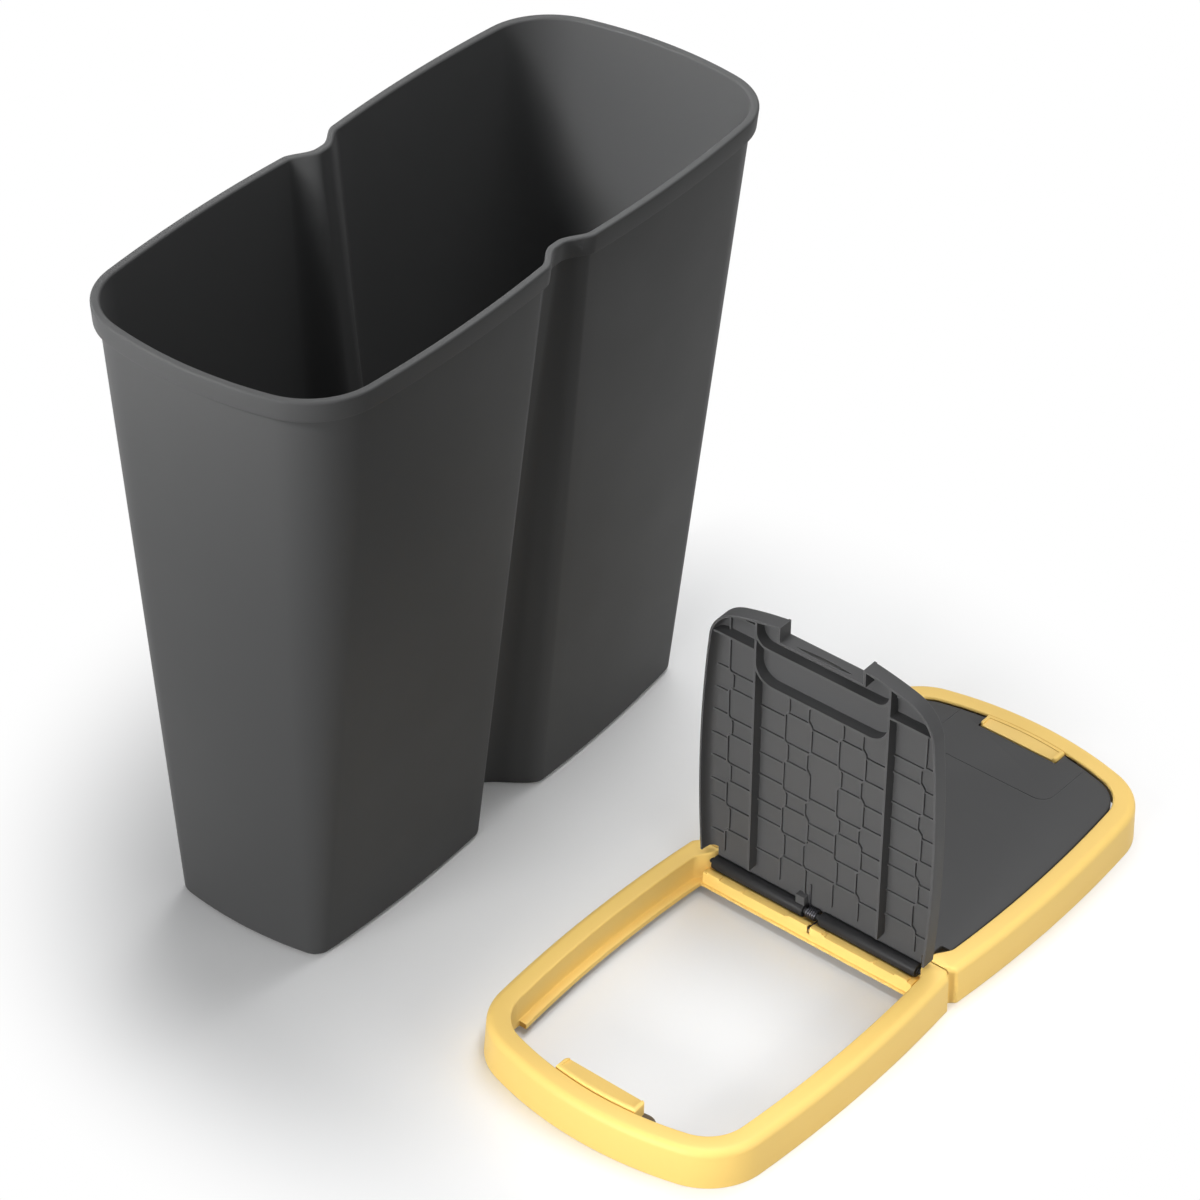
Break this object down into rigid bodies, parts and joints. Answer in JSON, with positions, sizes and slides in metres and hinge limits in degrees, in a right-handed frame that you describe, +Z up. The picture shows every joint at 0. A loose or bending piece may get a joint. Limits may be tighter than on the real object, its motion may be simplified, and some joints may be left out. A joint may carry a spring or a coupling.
{
  "type": "double recycling bin",
  "caption": "Slim tall indoor waste bin with a waisted body and a separate lid frame whose twin sprung flaps are held shut by press latches.",
  "frame": {"origin": "centre of the bin's flat underside, where it stands on the floor", "axes": "+Z up, X along the bin's long side, -Y towards the lid that lies on the floor beside the bin"},
  "size_m": [0.5748, 0.5839, 0.51],
  "materials": {
    "graphite_plastic": "matte dark grey moulded plastic",
    "flap_plastic": "matte mid grey moulded plastic",
    "yellow_plastic": "satin pale yellow moulded plastic",
    "bracket_plastic": "matte dark brown moulded plastic",
    "pin_plastic": "satin black moulded plastic",
    "spring_steel": "dark drawn spring wire"
  },
  "bodies": {
    "tub": {"bin_tub": "graphite_plastic"},
    "lid": {"lid_frame": "yellow_plastic", "hinge_pin_left_a": "pin_plastic", "hinge_pin_left_b": "pin_plastic", "hinge_pin_right_a": "pin_plastic", "hinge_pin_right_b": "pin_plastic", "latch_bracket_left": "bracket_plastic", "latch_bracket_right": "bracket_plastic"},
    "flap_left": {"flap_left": "flap_plastic", "hinge_spring_left": "spring_steel"},
    "flap_right": {"flap_right": "flap_plastic", "hinge_spring_right": "spring_steel"},
    "latch_left": {"latch_paddle_left": "yellow_plastic"},
    "latch_right": {"latch_paddle_right": "yellow_plastic"}
  },
  "joints": [
    {"name": "lid_lift", "type": "slide", "parent": "tub", "child": "lid", "axis": [0, 0, 1], "range_m": [0, 0.65]},
    {"name": "flap_left_hinge", "type": "hinge", "parent": "lid", "child": "flap_left", "pos_m": [0.01541, -0.33418, 0.0245], "axis": [-0.0558, -0.9984, 0], "range_deg": [0, 88], "stiffness_Nm_per_rad": 0.2, "springref_deg": -28.65, "deforming": ["hinge_spring_left"]},
    {"name": "flap_right_hinge", "type": "hinge", "parent": "lid", "child": "flap_right", "pos_m": [0.03039, -0.33502, 0.0245], "axis": [-0.0558, -0.9984, 0], "range_deg": [0, 88], "deforming": ["hinge_spring_right"]},
    {"name": "latch_left_press", "type": "hinge", "parent": "lid", "child": "latch_left", "pos_m": [-0.23669, -0.32009, 0.028], "axis": [0.0558, 0.9984, 0], "range_deg": [0, 8], "stiffness_Nm_per_rad": 0.3, "springref_deg": -2.86},
    {"name": "latch_right_press", "type": "hinge", "parent": "lid", "child": "latch_right", "pos_m": [0.28249, -0.34911, 0.028], "axis": [-0.0558, -0.9984, 0], "range_deg": [0, 8], "stiffness_Nm_per_rad": 0.3, "springref_deg": -2.86}
  ]
}
